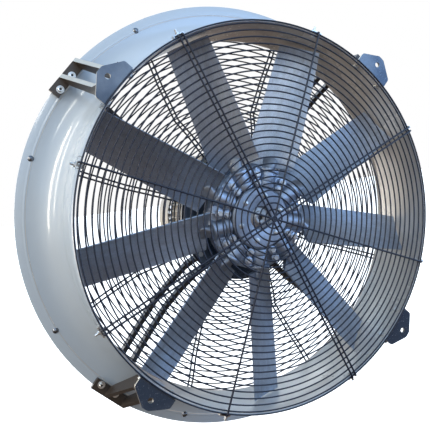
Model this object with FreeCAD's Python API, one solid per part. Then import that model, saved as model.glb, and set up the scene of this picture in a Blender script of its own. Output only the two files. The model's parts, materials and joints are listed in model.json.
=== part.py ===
import FreeCAD, Part
import math
import os

# Industrial axial fan. The fan axis is Y, the outlet faces -Y and +Z is up.
# The origin is the centre of the four lug holes, on the front faces of the lugs.
# All sizes are in millimetres.

# ---- casing -------------------------------------------------------------
impeller_d = 1000.0        # over the blade tips
tip_gap = 5.0              # blade tip to casing bore
sheet = 3.0                # casing sheet
throat_depth = 178.0       # length of the straight bore, from the front edge
bell_radius = 74.0         # inlet radius of the bell mouth
flange_width = 43.0        # flat inlet flange outside the bell mouth
rim_line_inset = 22.0      # joggle line on the flange, from its outer edge
rim_line_depth = 0.8
rim_line_width = 1.6

# ---- guards -------------------------------------------------------------
ring_wire_r = 2.0
ring_sides = 10            # a ring's wire is drawn as this many flats
spoke_wire_r = 2.5
ring_pitch = 17.0
rim_ring_step = 8.0        # first ring inside the rim ring
guard_centre_r = 22.0      # no rings inside this radius
pair_gap = 12.0            # between the two wires of a double spoke
spoke_count = 8
spoke_start = 22.5         # degrees from +X
hook_length = 30.0         # wire tail lying on the casing
weld_gap = 0.05            # room left between welded wires
bend_gap = 0.4             # more room for a ring that sits beside a bend
clip_width = 30.0
clip_depth = 14.0
clip_thickness = 2.0
clip_y = 12.0              # screw behind the front edge
thread_end = 9.0           # clip screw end past its nut

# ---- lugs and brackets --------------------------------------------------
lug_angles = {"upper_right": 45.0, "upper_left": 135.0, "lower_left": 225.0, "lower_right": 315.0}
lug_hole_reach = 34.0      # lug hole outside the casing sheet
lug_hole_r = 7.0
lug_plate = 6.0
lug_half_width = 55.0
lug_side_height = 20.0     # straight side above the base
lug_crown = 24.0           # metal outside the hole centre
lug_crown_half = 9.0
lug_corner_r = 9.0
lug_base_depth = 56.0
lug_screw_inset = 11.0     # lug screw to the side of its base
lug_screw_y = 20.0
arm_bar = 12.0             # thickness of the bracket arms
arm_height = 32.0
arm_front_y = 34.0
arm_bend_y = 104.0
arm_foot_length = 49.0
arm_pairs = ((10.0, 40.0), (-47.0, -9.0))  # each arm and its foot bolt, from the lug's centre line
foot_bolt_inset = 22.0     # from the foot's outer end
foot_overhang = 7.0        # foot past the flange's outer edge
arm_rise = 6.0             # bend further out than the front end

# ---- motor support ------------------------------------------------------
support_bar = 13.0         # thickness of the support arms
support_height = 25.0
support_foot_edge = 12.0   # foot metal beyond its bolt
support_offset = 20.0      # of each arm, from the lug's centre line
support_end_inset = 26.0   # arm end to the flange's outer edge
support_end_width = 13.0
support_end_height = 20.0
support_knee = 45.0        # bowed edge to the motor flange's front, at the plate
support_knee_outer = 50.0
plate_lap = 2.0            # arm edge inside the plate's edge
# bowed edge: share of the span, and depth behind the flange
support_bow = ((0.8, 43.0), (0.58, 64.0), (0.38, 73.0), (0.22, 58.0), (0.075, 31.0))
plate_setback = 17.0       # front face of the motor plate behind the throat
plate_thickness = 10.0
plate_edge = 6.0           # plate outside the arm tabs
tab_thickness = 6.0
tab_width = 22.0
tab_length = 32.0
tab_bolt_reach = 17.0

# rear guard: share of the span, and depth behind the flange
rear_guard_bow = ((0.77, 13.0), (0.62, 31.0), (0.36, 45.0), (0.23, 6.0), (0.066, -28.0))
rear_eye_r = 11.0
rear_bend = 6.0
washer_r = 10.5
washer_height = 2.0
dome_r = 9.5               # flange bolt head

# ---- motor (frame size 132, flange mounted) ------------------------------
motor_flange_r = 148.0
motor_flange_thickness = 15.0
flange_bolt_inset = 15.5   # motor bolt to the flange's edge
spigot_r = 115.0
spigot_height = 5.0
shaft_r = 19.0
shaft_reach = 80.0         # shaft in front of the motor flange
frame_bore_r = 105.0
frame_wall = 8.0
fin_height = 17.0
fin_thickness = 3.5
fin_count = 40
fin_clear_degrees = 34.0   # no fins this far either side of the terminal box
shield_depth = 41.0
frame_length = 234.0
rear_shield_depth = 22.0
cowl_length = 78.0
cowl_wall = 2.0
cowl_lap = 16.0            # cowl over the rear shield
cowl_pad_length = 14.0
cowl_screws_round = 4
cowl_hole_r = 6.0
cowl_hole_rings = 4
cowl_hole_first = 30.0
cowl_hole_step = 22.0
cooling_gap = 28.0         # cooling fan to the cowl's end
cooling_fan_setback = 14.0
cooling_fan_r = 100.0
cooling_hub_r = 32.0
core_r = 61.4
air_gap = 0.6
core_length = 140.0
winding_length = 27.0      # end turns past the core
winding_clear = 5.0        # end turns to the rotor
winding_back = 8.0         # end turns to the frame
winding_round = 6.0
rotor_shoulder = 3.0
key_width = 10.0
key_height = 8.0
key_inset = 5.0
keyway_depth = 5.0
seat_wall = 9.0            # metal round a bearing seat
shaft_window = 4.0         # shield to shaft
bearing_step = 1.0         # shaft shoulder under a bearing
bearing_section = 25.0     # from bore to outside
bearing_width = 23.0
ball_r = 7.5
ball_count = 8
race_clearance = 0.3
race_share = 0.6           # ring edge from the ball circle, in ball radii
seal_thickness = 1.2
box_width = 140.0
box_depth = 120.0
box_height = 64.0
box_wall = 4.0
box_corner_r = 8.0
box_pad_inset = 15.0
box_setback = 20.0
lid_screw_inset = 12.0
lid_thickness = 6.0
gland_r = 14.0

# ---- impeller -----------------------------------------------------------
blade_count = 9
blade_start = 26.5         # degrees from +X at rest
blade_reach = 96.4         # plane of the blade axes in front of the motor plate
root_r = 152.0             # where the blade leaves its shank
chord_root = 141.0
chord_tip = 115.0
pitch_root = 41.0
pitch_tip = 28.9
camber = 0.07
blade_thickness_root = 9.0
blade_thickness_tip = 5.0
edge_share = 0.35          # blade edge, as a share of its full thickness
blade_overrun = 8.0        # blade drawn past the tip before it is trimmed round
blade_nose = 45.0          # shank's taper into the blade
nose_r = 5.0
shank_lap = 10.0
shank_r = 17.0
collar_r = 25.0
collar_width = 10.0
collar_inner = 92.0
socket_gap = 0.05
hub_r = 140.0
hub_half_height = 32.0
hub_face_drop = 8.0        # ring of clamps behind the hub's centre face
hub_face_r = 84.0
hub_hole_gap = 4.0         # hub's centre hole outside the bush
boss_wall = 22.0
bush_wall = 15.0
boss_gap = 12.0            # boss end to the motor plate
hub_bolt_circles = (120.0, 97.0)
end_washer_r = 30.0
end_washer_thickness = 7.0

# ---- fasteners: shank radius, across flats, head height ------------------
m6 = (3.0, 10.0, 4.0)
m8 = (4.0, 13.0, 5.3)
m10 = (5.0, 16.0, 6.4)
m12 = (6.0, 18.0, 7.5)
hole_gap = 0.3             # between a screw and its hole, on the radius
rib_gap = 0.3              # between curved faces that only lie together
thread_past = 3.0          # bolt end past its nut

# ---- derived sizes ------------------------------------------------------
bore_r = impeller_d / 2 + tip_gap
casing_r = bore_r + sheet
flange_y = throat_depth + bell_radius - sheet      # front face of the flange
flange_back = flange_y + sheet
bell_edge_r = bore_r + bell_radius
flange_r = bell_edge_r + flange_width
rim_bolt_r = flange_r - rim_line_inset
ring_y = -ring_wire_r - weld_gap
spoke_y = ring_y - ring_wire_r - spoke_wire_r - weld_gap
rim_ring_r = casing_r + 0.5
spoke_bend = ring_wire_r + spoke_wire_r + weld_gap
tail_r = rim_ring_r + ring_wire_r + spoke_wire_r + weld_gap
lug_hole_at = casing_r + lug_hole_reach
base_in = casing_r + rib_gap
base_out = base_in + lug_plate
lug_base_degrees = math.degrees(math.asin(lug_half_width / base_out))
lug_screw_degrees = math.degrees(math.asin((lug_half_width - lug_screw_inset) / base_out))
foot_out = flange_r + foot_overhang
foot_in = foot_out - arm_height
foot_bolt_r = foot_out - foot_bolt_inset
tab_r = motor_flange_r + 2.0
plate_r = tab_r + tab_width + plate_edge
plate_y = throat_depth + plate_setback
blade_y = plate_y - blade_reach
motor_flange_pcd = 2 * (motor_flange_r - flange_bolt_inset)
motor_y = plate_y + plate_thickness                # front face of the motor flange
bearing_bore_r = shaft_r + bearing_step
bearing_outer_r = bearing_bore_r + bearing_section
bush_r = shaft_r + bush_wall
boss_r = bush_r + boss_wall
boss_end = plate_y - boss_gap
hub_hole_r = bush_r + hub_hole_gap
frame_r = frame_bore_r + frame_wall
frame_y = motor_y + shield_depth
frame_end = frame_y + frame_length
shield_end = frame_end + rear_shield_depth
cowl_r = frame_r + fin_height + cowl_wall
core_y = frame_y + (frame_length - core_length) / 2
front_bearing_y = motor_y + 10.0
rear_bearing_y = frame_end - 4.0
bearing_ys = (front_bearing_y, rear_bearing_y)
ball_circle_r = (bearing_bore_r + bearing_outer_r) / 2
race_out_r = ball_circle_r + ball_r * race_share
race_in_r = ball_circle_r - ball_r * race_share
rotor_bore_r = core_r * 0.36
cooling_end = shield_end + cowl_length - cooling_gap
shaft_end = motor_y - shaft_reach
hub_front = blade_y - hub_half_height
hub_back = blade_y + hub_half_height
box_z = frame_r + fin_height
box_y = frame_y + box_setback
box_top = box_z + box_height

y_axis = FreeCAD.Vector(0, 1, 0)
origin = FreeCAD.Vector(0, 0, 0)


def vec(x, y, z):
    return FreeCAD.Vector(x, y, z)


def polar(r, degrees, y=0.0):
    a = math.radians(degrees)
    return vec(r * math.cos(a), y, r * math.sin(a))


def turned(shape, degrees):
    # turns a shape about the fan axis, from +X towards +Z
    copy = shape.copy()
    copy.rotate(origin, y_axis, -degrees)
    return copy


def placed(shape, r, degrees, t=0.0):
    # a shape drawn at +X goes out to r, sideways by t, then round to its angle
    copy = shape.copy()
    copy.translate(vec(r, 0, t))
    return turned(copy, degrees)


def disc(r, y0, y1):
    return Part.makeCylinder(r, y1 - y0, vec(0, y0, 0), y_axis)


def tube(r_out, r_in, y0, y1):
    return disc(r_out, y0, y1).cut(disc(r_in, y0 - 1, y1 + 1))


def block(r0, r1, y0, y1, t0, t1):
    return Part.makeBox(r1 - r0, y1 - y0, t1 - t0, vec(r0, y0, t0))


def revolved(points):
    # closed outline of (radius, y) points, turned about the fan axis
    corners = [vec(r, y, 0) for r, y in points]
    face = Part.Face(Part.makePolygon(corners + [corners[0]]))
    return face.revolve(origin, y_axis, 360)


def ring_wire(r, y):
    # one guard ring of wire, with its centre line at radius r
    turns = [2 * math.pi * (k + 0.5) / ring_sides for k in range(ring_sides)]
    outline = [(r + ring_wire_r * math.cos(a), y + ring_wire_r * math.sin(a)) for a in turns]
    return revolved(outline)


def profile(points, middle, thickness):
    # flat bar on edge, cut to an outline of (radius, y) points
    corners = [vec(r, y, middle - thickness / 2) for r, y in points]
    return Part.Face(Part.makePolygon(corners + [corners[0]])).extrude(vec(0, 0, thickness))


def fused(shapes):
    whole = shapes[0]
    if len(shapes) > 1:
        whole = whole.multiFuse(shapes[1:])
    return whole.removeSplitter()


def rod(points, radius, bend):
    # round wire along straight runs joined by tangent arcs
    edges = []
    start = points[0]
    for here, after in zip(points[1:], points[2:]):
        back = (start - here).normalize()
        on = (after - here).normalize()
        half = back.getAngle(on) / 2
        reach = bend / math.tan(half)
        middle = (back + on).normalize()
        tip = here + middle * (bend / math.sin(half) - bend)
        first = here + back * reach
        last = here + on * reach
        edges.append(Part.LineSegment(start, first).toShape())
        edges.append(Part.Arc(first, tip, last).toShape())
        start = last
    edges.append(Part.LineSegment(start, points[-1]).toShape())
    heading = (points[1] - points[0]).normalize()
    ring = Part.Wire(Part.makeCircle(radius, points[0], heading))
    return Part.Wire(edges).makePipeShell([ring], True, True)


def hexagon(flats, height, at, heading):
    # hexagonal head or nut standing on a point
    corner = flats / 2 / math.cos(math.pi / 6)
    turns = [k * math.pi / 3 for k in range(7)]
    points = [vec(corner * math.cos(a), corner * math.sin(a), 0) for a in turns]
    prism = Part.Face(Part.makePolygon(points)).extrude(vec(0, 0, height))
    prism.Placement = FreeCAD.Placement(at, FreeCAD.Rotation(vec(0, 0, 1), heading))
    return prism


def bolt(size, seat, heading, length):
    # the head stands on the seat and the shank runs the other way
    radius, flats, head = size
    shank = Part.makeCylinder(radius, length, seat, heading * -1)
    return fused([hexagon(flats, head, seat, heading), shank])


def nut(size, seat, heading, height=None):
    radius, flats, head = size
    tall = height or head
    thread = Part.makeCylinder(radius, tall + 2, seat - heading, heading)
    return hexagon(flats, tall, seat, heading).cut(thread)


def hole(size, at, heading, length):
    return Part.makeCylinder(size[0] + hole_gap, length, at, heading)


def spoke_angles():
    return [spoke_start + k * 360 / spoke_count for k in range(spoke_count)]


def lug_screw_turns():
    sides = (-lug_screw_degrees, lug_screw_degrees)
    return [angle + side for angle in lug_angles.values() for side in sides]


def arm_places():
    # lug angle, side the feet point to, and the offsets of an arm and its bolt towards that side
    places = []
    for angle in lug_angles.values():
        side = 1 if math.sin(math.radians(2 * angle)) < 0 else -1
        for offset, bolt_at in arm_pairs:
            places.append((angle, side, side * offset, side * bolt_at))
    return places


# ---- casing -------------------------------------------------------------
def fan_casing():
    inner = bell_radius
    outer = bell_radius - sheet
    centre = (bore_r + bell_radius, throat_depth)
    diagonal = math.sqrt(0.5)
    edges = []

    def line(a, b):
        edges.append(Part.LineSegment(vec(a[0], a[1], 0), vec(b[0], b[1], 0)).toShape())

    def arc(radius):
        ends = [(centre[0] - radius, centre[1]), (centre[0], centre[1] + radius)]
        middle = (centre[0] - radius * diagonal, centre[1] + radius * diagonal)
        points = [vec(p[0], p[1], 0) for p in (ends[0], middle, ends[1])]
        edges.append(Part.Arc(*points).toShape())

    line((bore_r, 0), (casing_r, 0))
    line((casing_r, 0), (casing_r, throat_depth))
    arc(outer)
    line((centre[0], flange_y), (flange_r, flange_y))
    line((flange_r, flange_y), (flange_r, flange_back))
    line((flange_r, flange_back), (centre[0], flange_back))
    arc(inner)
    line((bore_r, throat_depth), (bore_r, 0))
    shell = Part.Face(Part.Wire(Part.__sortEdges__(edges))).revolve(origin, y_axis, 360)
    line_r = rim_bolt_r - m10[1] / 4
    half = rim_line_width / 2
    tools = [tube(line_r + half, line_r - half, flange_y - 1, flange_y + rim_line_depth)]
    for angle in spoke_angles():
        tools.append(hole(m8, polar(rim_bolt_r, angle, flange_y - 1), y_axis, sheet + 2))
    for index, angle in enumerate(spoke_angles()):
        at = vec(bore_r - sheet, clip_y, clip_shift(index))
        tools.append(turned(hole(m6, at, vec(1, 0, 0), 3 * sheet), angle))
    for angle, side, arm_t, bolt_t in arm_places():
        at = foot_bolt_place(angle, bolt_t, flange_y - 1)
        tools.append(hole(m10, at, y_axis, sheet + 2))
    for turn in lug_screw_turns():
        tools.append(hole(m8, polar(bore_r - 1, turn, lug_screw_y), polar(1, turn), sheet + 2))
    return shell.cut(Part.makeCompound(tools))


# ---- front guard --------------------------------------------------------
def is_double(index):
    return index % 2 == 0


def guard_wire(angle, t):
    # one wire right across the guard, hooked over the rim at both ends
    points = [
        vec(tail_r, hook_length + spoke_y, t),
        vec(tail_r, spoke_y, t),
        vec(-tail_r, spoke_y, t),
        vec(-tail_r, hook_length + spoke_y, t),
    ]
    return turned(rod(points, spoke_wire_r, spoke_bend), angle)


def front_guard_spokes():
    wires = []
    for index, angle in enumerate(spoke_angles()[: spoke_count // 2]):
        shifts = (-pair_gap / 2, pair_gap / 2) if is_double(index) else (0.0,)
        wires += [guard_wire(angle, t) for t in shifts]
    return fused(wires)


def front_ring_radii():
    radii = [rim_ring_r]
    r = rim_ring_r - rim_ring_step
    while r > guard_centre_r:
        radii.append(r)
        r -= ring_pitch
    return radii


def front_guard_rings():
    return [ring_wire(r, ring_y) for r in front_ring_radii()]


def clip_shift(index):
    # a single wire has its screw beside it, a double one has it between the wires
    return 0.0 if is_double(index) else spoke_wire_r + m6[0] + 1.0


def clip_shape(index):
    # small saddle plate that holds the wire tails on the casing
    under = casing_r + rib_gap
    top = tail_r + spoke_wire_r
    half = clip_width / 2
    y0 = clip_y - clip_depth / 2
    y1 = clip_y + clip_depth / 2
    plate = block(top, top + clip_thickness, y0, y1, -half, half)
    left = block(under, top, y0, y1, -half, -half + clip_thickness)
    right = block(under, top, y0, y1, half - clip_thickness, half)
    bore = hole(m6, vec(under, clip_y, clip_shift(index)), vec(1, 0, 0), 2 * clip_thickness + top - under)
    return fused([plate, left, right]).cut(bore)


def front_guard_clips():
    return [turned(clip_shape(index), angle) for index, angle in enumerate(spoke_angles())]


def front_guard_screws():
    # heads on the inner wall, with the thread standing out past the nut
    screws = []
    length = tail_r + spoke_wire_r + clip_thickness + m6[2] + thread_end - bore_r
    for index, angle in enumerate(spoke_angles()):
        screw = bolt(m6, vec(bore_r - rib_gap, clip_y, clip_shift(index)), vec(-1, 0, 0), length)
        screws.append(turned(screw, angle))
    return screws


def front_guard_nuts():
    nuts = []
    seat = tail_r + spoke_wire_r + clip_thickness
    for index, angle in enumerate(spoke_angles()):
        nuts.append(turned(nut(m6, vec(seat, clip_y, clip_shift(index)), vec(1, 0, 0)), angle))
    return nuts


# ---- lugs and bracket arms ----------------------------------------------
def lug(angle):
    side_top = base_out + lug_side_height
    crown = lug_hole_at + lug_crown
    low = base_in + 2.0
    half = lug_half_width
    outline = [
        (low, -half),
        (side_top, -half),
        (crown, -lug_crown_half),
        (crown, lug_crown_half),
        (side_top, half),
        (low, half),
    ]
    corners = [vec(r, 0, t) for r, t in outline]
    plate = Part.Face(Part.makePolygon(corners + [corners[0]])).extrude(vec(0, lug_plate, 0))
    rounded = []
    for edge in plate.Edges:
        a, b = edge.Vertexes[0].Point, edge.Vertexes[-1].Point
        if abs(a.x - b.x) + abs(a.z - b.z) < 0.01 and a.x > low + 1:
            rounded.append(edge)
    plate = plate.makeFillet(lug_corner_r, rounded)
    base = tube(base_out, base_in, lug_plate, lug_base_depth)
    far = base_out * 1.2
    reach = math.tan(math.radians(lug_base_degrees)) * far
    wedge_points = [vec(0, -1, 0), vec(far, -1, -reach), vec(far, -1, reach), vec(0, -1, 0)]
    wedge = Part.Face(Part.makePolygon(wedge_points)).extrude(vec(0, lug_base_depth + 2, 0))
    base = base.common(wedge)
    whole = fused([plate, base])
    tools = [Part.makeCylinder(lug_hole_r, lug_plate + 2, vec(lug_hole_at, -1, 0), y_axis)]
    for turn in (-lug_screw_degrees, lug_screw_degrees):
        tools.append(hole(m8, polar(base_in - 2, turn, lug_screw_y), polar(1, turn), lug_plate + 6))
    return turned(whole.cut(Part.makeCompound(tools)), angle)


def lug_screws():
    screws = []
    for turn in lug_screw_turns():
        out = polar(1, turn)
        seat = out * (base_out + rib_gap) + vec(0, lug_screw_y, 0)
        screws.append(bolt(m8, seat, out, base_out - bore_r + m8[2] + thread_past))
    return screws


def lug_nuts():
    nuts = []
    for turn in lug_screw_turns():
        out = polar(1, turn)
        seat = out * (bore_r - rib_gap) + vec(0, lug_screw_y, 0)
        nuts.append(nut(m8, seat, out * -1))
    return nuts


def foot_bolt_place(angle, bolt_t, y):
    return turned(Part.Vertex(foot_bolt_r, y, bolt_t), angle).Point


def bracket_arms():
    # profile-cut flat bars with a foot bent over at the inlet flange
    arms = []
    foot_y = flange_y - arm_bar
    for angle, side, arm_t, bolt_t in arm_places():
        near = max(abs(arm_t) - arm_bar / 2, 0.0)
        low = math.sqrt(base_out ** 2 - near ** 2) + weld_gap
        outline = [
            (low, arm_front_y),
            (low + arm_height, arm_front_y),
            (low + arm_height + arm_rise, arm_bend_y),
            (foot_out, foot_y),
            (foot_out, flange_y),
            (foot_in, flange_y),
            (foot_in, foot_y),
            (low, arm_bend_y + arm_height / 3),
        ]
        bar = profile(outline, arm_t, arm_bar)
        ends = sorted((arm_t, arm_t + side * arm_foot_length))
        foot = block(foot_in, foot_out, foot_y, flange_y, ends[0], ends[1])
        at = vec(foot_bolt_r, foot_y - 1, bolt_t)
        arms.append(turned(fused([bar, foot]).cut(hole(m10, at, y_axis, arm_bar + 2)), angle))
    return arms


def foot_bolts():
    bolts = []
    grip = arm_bar + sheet + tab_thickness + m10[2] + thread_past
    for angle, side, arm_t, bolt_t in arm_places():
        seat = foot_bolt_place(angle, bolt_t, flange_y - arm_bar - washer_height)
        bolts.append(bolt(m10, seat, y_axis * -1, grip + washer_height))
    return bolts


def foot_washers():
    washers = []
    for angle, side, arm_t, bolt_t in arm_places():
        at = foot_bolt_place(angle, bolt_t, flange_y - arm_bar - washer_height)
        washer = Part.makeCylinder(washer_r, washer_height, at, y_axis)
        washers.append(washer.cut(hole(m10, at - y_axis, y_axis, washer_height + 2)))
    return washers


def foot_nuts():
    nuts = []
    for angle, side, arm_t, bolt_t in arm_places():
        nuts.append(nut(m10, foot_bolt_place(angle, bolt_t, flange_back + tab_thickness), y_axis))
    return nuts


# ---- rear guard ---------------------------------------------------------
def rear_guard_path():
    # (radius, y) of a rear spoke's centre line, from the flange to the motor plate
    span = rim_bolt_r - plate_r
    path = [(rim_bolt_r - rear_eye_r, flange_back + spoke_wire_r)]
    path += [(plate_r + share * span, flange_back + depth) for share, depth in rear_guard_bow]
    path.append((plate_r + spoke_wire_r + rib_gap, plate_y + plate_thickness / 2))
    return path


def rear_guard_spokes():
    path = rear_guard_path()
    ring_r, ring_at = path[-1]
    parts = [tube(ring_r + spoke_wire_r, ring_r - spoke_wire_r, ring_at - 3.0, ring_at + 3.0)]
    bores = []
    for angle in spoke_angles():
        for t in (-pair_gap / 2, pair_gap / 2):
            points = [vec(r, y, t) for r, y in path]
            parts.append(turned(rod(points, spoke_wire_r, rear_bend), angle))
        eye = disc(rear_eye_r + 2.0, flange_back, flange_back + 2 * spoke_wire_r)
        parts.append(placed(eye, rim_bolt_r, angle))
        at = polar(rim_bolt_r, angle, flange_back - 1)
        bores.append(hole(m8, at, y_axis, 2 * spoke_wire_r + 2))
    whole = fused(parts)
    return whole.cut(Part.makeCompound(bores))


def rear_ring_places():
    # rings at an even pitch along the spoke, on its inlet side
    path = rear_guard_path()
    reach = ring_wire_r + spoke_wire_r + bend_gap
    places = []
    left = ring_pitch * 1.8
    for (r0, y0), (r1, y1) in zip(path, path[1:]):
        length = math.hypot(r1 - r0, y1 - y0)
        along = ((r1 - r0) / length, (y1 - y0) / length)
        while left < length - ring_pitch / 4:
            centre = (r0 + along[0] * left, y0 + along[1] * left)
            places.append((centre[0] - along[1] * reach, centre[1] + along[0] * reach))
            left += ring_pitch
        left = max(left - length, ring_pitch / 4)
    return places


def rear_guard_rings():
    return [ring_wire(r, y) for r, y in rear_ring_places()]


def flange_bolts():
    # low domed heads on the front of the flange
    bolts = []
    grip = sheet + 2 * spoke_wire_r + m8[2] + thread_past
    for angle in spoke_angles():
        seat = polar(rim_bolt_r, angle, flange_y)
        ball = Part.makeSphere(dome_r, seat + vec(0, dome_r / 2, 0))
        room = placed(disc(dome_r, flange_y - dome_r, flange_y), rim_bolt_r, angle)
        bolts.append(fused([ball.common(room), Part.makeCylinder(m8[0], grip, seat, y_axis)]))
    return bolts


def flange_nuts():
    y = flange_back + 2 * spoke_wire_r
    return [nut(m8, polar(rim_bolt_r, angle, y), y_axis) for angle in spoke_angles()]


# ---- motor support ------------------------------------------------------
def motor_plate():
    plate = tube(plate_r, spigot_r + rib_gap, plate_y, motor_y)
    tools = [hole(m12, at, y_axis, plate_thickness + 2) for at in motor_bolt_places(plate_y - 1)]
    tools += [hole(m8, at, y_axis, plate_thickness + 2) for at in tab_bolt_places(plate_y - 1)]
    return plate.cut(Part.makeCompound(tools))


def motor_bolt_places(y):
    return [polar(motor_flange_pcd / 2, 90.0 * k, y) for k in range(4)]


def support_places():
    # lug angle, side of the lug's centre line, and the foot bolt's place
    places = []
    for angle, _, arm_t, bolt_t in arm_places():
        places.append((angle, math.copysign(1, arm_t), bolt_t))
    return places


def tab_bolt_places(y):
    places = []
    for angle, hand, _ in support_places():
        t = hand * (support_offset + tab_bolt_reach)
        places.append(turned(Part.Vertex(tab_r + tab_width / 2, y, t), angle).Point)
    return places


def beside(path, distance):
    # the same path moved sideways, with its corners kept
    def shift(a, b):
        length = math.hypot(b[0] - a[0], b[1] - a[1])
        return ((b[1] - a[1]) / length, (a[0] - b[0]) / length)

    moved = []
    for before, here, after in zip(path, path[1:], path[2:]):
        nx, ny = shift(before, here)
        mx, my = shift(here, after)
        scale = distance / (1 + nx * mx + ny * my)
        moved.append((here[0] + (nx + mx) * scale, here[1] + (ny + my) * scale))
    return moved


def motor_support_arms():
    # flat bars on edge, bowed round the rear guard, with a foot at each end
    arms = []
    outer = flange_r - support_end_inset
    start = outer - support_end_width
    span = start - plate_r
    foot_face = flange_back + tab_thickness
    tab_face = motor_y + tab_thickness
    near = [(start, foot_face)]
    near += [(plate_r + share * span, flange_back + depth) for share, depth in support_bow]
    near.append((plate_r - plate_lap, motor_y + support_knee))
    near.append((plate_r - plate_lap, tab_face))
    outline = near + [(tab_r, tab_face), (tab_r, motor_y + support_knee_outer)]
    outline += beside(near, support_height)[-2::-1]
    outline += [(outer, foot_face + support_end_height), (outer, foot_face)]
    for angle, hand, bolt_t in support_places():
        centre = hand * support_offset
        way = math.copysign(1, bolt_t - centre)
        ends = sorted((centre - way * support_bar / 2, bolt_t + way * support_foot_edge))
        foot = block(start, foot_out, flange_back, foot_face, ends[0], ends[1])
        tab_ends = sorted((hand * (support_offset - support_bar / 2), hand * (support_offset + tab_length)))
        tab = block(tab_r, tab_r + tab_width, motor_y, tab_face, tab_ends[0], tab_ends[1])
        arm = turned(fused([profile(outline, centre, support_bar), foot, tab]), angle)
        tools = [hole(m10, foot_bolt_place(angle, bolt_t, flange_back - 1), y_axis, tab_thickness + 2)]
        tools += [hole(m8, at, y_axis, tab_thickness + 2) for at in tab_bolt_places(motor_y - 1)]
        arms.append(arm.cut(Part.makeCompound(tools)))
    return arms


def tab_screws():
    grip = plate_thickness + tab_thickness + m8[2] + 2
    return [bolt(m8, at, y_axis * -1, grip) for at in tab_bolt_places(plate_y)]


def tab_nuts():
    return [nut(m8, at, y_axis) for at in tab_bolt_places(motor_y + tab_thickness)]


# ---- motor --------------------------------------------------------------
def drive_end_shield():
    front = front_bearing_y
    outline = [
        (shaft_r + shaft_window, motor_y - spigot_height),
        (spigot_r, motor_y - spigot_height),
        (spigot_r, motor_y),
        (motor_flange_r, motor_y),
        (motor_flange_r, motor_y + motor_flange_thickness),
        (frame_r, motor_y + motor_flange_thickness),
        (frame_r, frame_y),
        (frame_bore_r - winding_back, frame_y),
        (frame_bore_r - winding_back, motor_y + motor_flange_thickness),
        (bearing_outer_r + seat_wall, motor_y + motor_flange_thickness),
        (bearing_outer_r + seat_wall, front + bearing_width),
        (bearing_outer_r, front + bearing_width),
        (bearing_outer_r, front),
        (shaft_r + shaft_window, front),
    ]
    tools = [hole(m12, at, y_axis, motor_flange_thickness + 2) for at in motor_bolt_places(motor_y - 1)]
    return revolved(outline).cut(Part.makeCompound(tools))


def motor_bolts():
    grip = plate_thickness + motor_flange_thickness + m12[2] + thread_past
    return [bolt(m12, at, y_axis * -1, grip) for at in motor_bolt_places(plate_y)]


def motor_nuts():
    return [nut(m12, at, y_axis) for at in motor_bolt_places(motor_y + motor_flange_thickness)]


def motor_frame():
    body = tube(frame_r, frame_bore_r, frame_y, frame_end)
    fins = []
    for k in range(fin_count):
        angle = 90.0 + (k + 0.5) * 360 / fin_count
        if abs((angle - 90.0 + 180) % 360 - 180) < fin_clear_degrees:
            continue
        half = fin_thickness / 2
        fin = block(frame_r - 2, frame_r + fin_height, frame_y, frame_end, -half, half)
        fins.append(turned(fin, angle))
    corner = vec(-box_width / 2 + box_pad_inset, box_y, frame_r - frame_wall / 2)
    pad = Part.makeBox(box_width - 2 * box_pad_inset, box_depth, fin_height + frame_wall / 2, corner)
    pad = pad.cut(disc(frame_r - 1, box_y - 1, box_y + box_depth + 1))
    return fused([body, pad] + fins)


def stator_core():
    return tube(frame_bore_r - 0.05, core_r + air_gap, core_y, core_y + core_length)


def stator_windings():
    # rounded end turns at both ends of the core
    coils = []
    inner = core_r + winding_clear
    outer = frame_bore_r - winding_back
    for y0 in (core_y - winding_length, core_y + core_length):
        coil = tube(outer, inner, y0, y0 + winding_length)
        round_edges = [e for e in coil.Edges if e.Curve.TypeId == "Part::GeomCircle"]
        coils.append(coil.makeFillet(winding_round, round_edges))
    return coils


def rear_end_shield():
    front = rear_bearing_y
    outline = [
        (bearing_outer_r, front),
        (bearing_outer_r + seat_wall, front),
        (bearing_outer_r + seat_wall, frame_end),
        (frame_r, frame_end),
        (frame_r, shield_end),
        (bearing_outer_r + seat_wall, shield_end),
        (bearing_outer_r + seat_wall, front + bearing_width + 5.0),
        (shaft_r + shaft_window, front + bearing_width + 5.0),
        (shaft_r + shaft_window, front + bearing_width),
        (bearing_outer_r, front + bearing_width),
    ]
    pads = [revolved(outline)]
    half = cowl_pad_length / 2
    for angle in cowl_screw_angles():
        pad_r = cowl_r - cowl_wall - rib_gap
        pad = block(frame_r - 2, pad_r, shield_end - cowl_pad_length, shield_end, -half, half)
        bore = hole(m6, vec(frame_r + 1, shield_end - half, 0), vec(1, 0, 0), fin_height + 10)
        pads.append(turned(pad.cut(bore), angle))
    return fused(pads)


def cowl_screw_angles():
    return [(k + 0.5) * 360 / cowl_screws_round for k in range(cowl_screws_round)]


def fan_cowl():
    start = shield_end - cowl_lap
    end = shield_end + cowl_length
    shell = disc(cowl_r, start, end).cut(disc(cowl_r - cowl_wall, start - 1, end - cowl_wall))
    tools = []
    for angle in cowl_screw_angles():
        at = polar(cowl_r - 5, angle, shield_end - cowl_pad_length / 2)
        tools.append(hole(m6, at, polar(1, angle), 10))
    for ring in range(cowl_hole_rings):
        r = cowl_hole_first + ring * cowl_hole_step
        count = 8 * (ring + 1)
        for k in range(count):
            tools.append(placed(disc(cowl_hole_r, end - 10, end + 5), r, k * 360 / count))
    return shell.cut(Part.makeCompound(tools))


def cowl_screws():
    screws = []
    for angle in cowl_screw_angles():
        out = polar(1, angle)
        seat = out * (cowl_r + rib_gap) + vec(0, shield_end - cowl_pad_length / 2, 0)
        screws.append(bolt(m6, seat, out, cowl_r - frame_r - 3.0))
    return screws


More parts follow.
